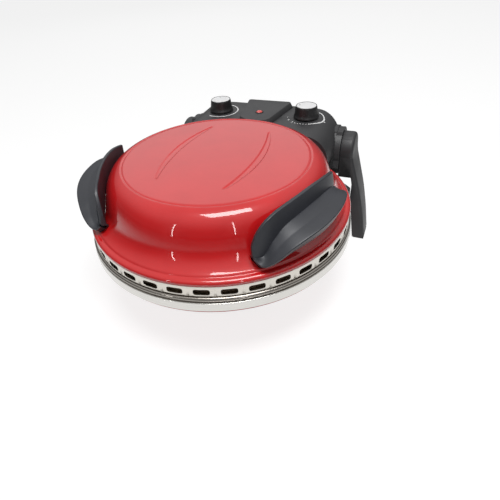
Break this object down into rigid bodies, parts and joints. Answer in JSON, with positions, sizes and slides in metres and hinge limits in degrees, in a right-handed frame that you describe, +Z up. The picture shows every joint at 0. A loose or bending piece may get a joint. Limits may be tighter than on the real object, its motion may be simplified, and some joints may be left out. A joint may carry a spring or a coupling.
{
  "type": "electric pizza oven",
  "caption": "Round countertop pizza oven with a hinged domed lid, vented band, side handles and rear control housing over a baking stone.",
  "frame": {"origin": "middle of the footprint, on the counter", "axes": "+Z up, -Y to the front with the handles, +Y to the hinge and controls, +X to the user's right"},
  "size_m": [0.365, 0.4106, 0.1948],
  "materials": {
    "red_enamel": "high gloss red stove enamel",
    "satin_steel": "satin stainless band with a warm tone",
    "polished_steel": "polished stainless ring",
    "dish_steel": "bright aluminised dish, lightly tinted by heat",
    "heater_steel": "oxidised heater tube",
    "zinc": "zinc plated",
    "handle_plastic": "matte heat proof plastic, fine grain",
    "housing_plastic": "matte moulded plastic, fine grain",
    "knob_plastic": "satin black plastic",
    "knob_cap": "satin silver disc",
    "lamp_red": "clear red lens",
    "inner_plastic": "moulded switch body",
    "stone": "dry cordierite stone, matte and finely pitted",
    "foot_rubber": "black rubber"
  },
  "bodies": {
    "base": {"base_ring": "polished_steel", "baking_stone": "stone", "base_dish": "dish_steel", "lower_heater": "heater_steel", "lower_clips": "dish_steel", "base_pan": "red_enamel", "front_feet": "foot_rubber", "rear_bracket": "housing_plastic", "leg_right": "housing_plastic", "leg_left": "housing_plastic", "leg_pads": "foot_rubber", "hinge_pins": "zinc", "bracket_screws": "zinc"},
    "lid": {"lid_shell": "red_enamel", "vent_band": "satin_steel", "lid_dish": "dish_steel", "upper_heater": "heater_steel", "upper_clips": "dish_steel", "sensor_tube": "zinc", "handle_right": "handle_plastic", "handle_left": "handle_plastic", "handle_screws": "zinc", "control_housing": "housing_plastic", "housing_cover": "housing_plastic", "cover_screws": "zinc", "centre_panel": "housing_plastic", "lamp_lens": "lamp_red", "lamp_body": "inner_plastic", "thermostat_body": "inner_plastic", "timer_body": "inner_plastic", "cord_gland": "foot_rubber"},
    "thermostat": {"thermostat_knob": "knob_plastic", "thermostat_cap": "knob_cap", "thermostat_shaft": "zinc"},
    "timer": {"timer_knob": "knob_plastic", "timer_cap": "knob_cap", "timer_shaft": "zinc"}
  },
  "joints": [
    {"name": "lid_hinge", "type": "hinge", "parent": "base", "child": "lid", "pos_m": [0, 0.1643, 0.124], "axis": [-1, 0, 0], "range_deg": [0, 95]},
    {"name": "thermostat_turn", "type": "hinge", "parent": "lid", "child": "thermostat", "pos_m": [0.072, 0.1503, 0.1758], "axis": [0, 0, -1], "range_deg": [0, 300]},
    {"name": "timer_turn", "type": "hinge", "parent": "lid", "child": "timer", "pos_m": [-0.072, 0.1503, 0.1758], "axis": [0, 0, -1], "range_deg": [0, 300]}
  ]
}
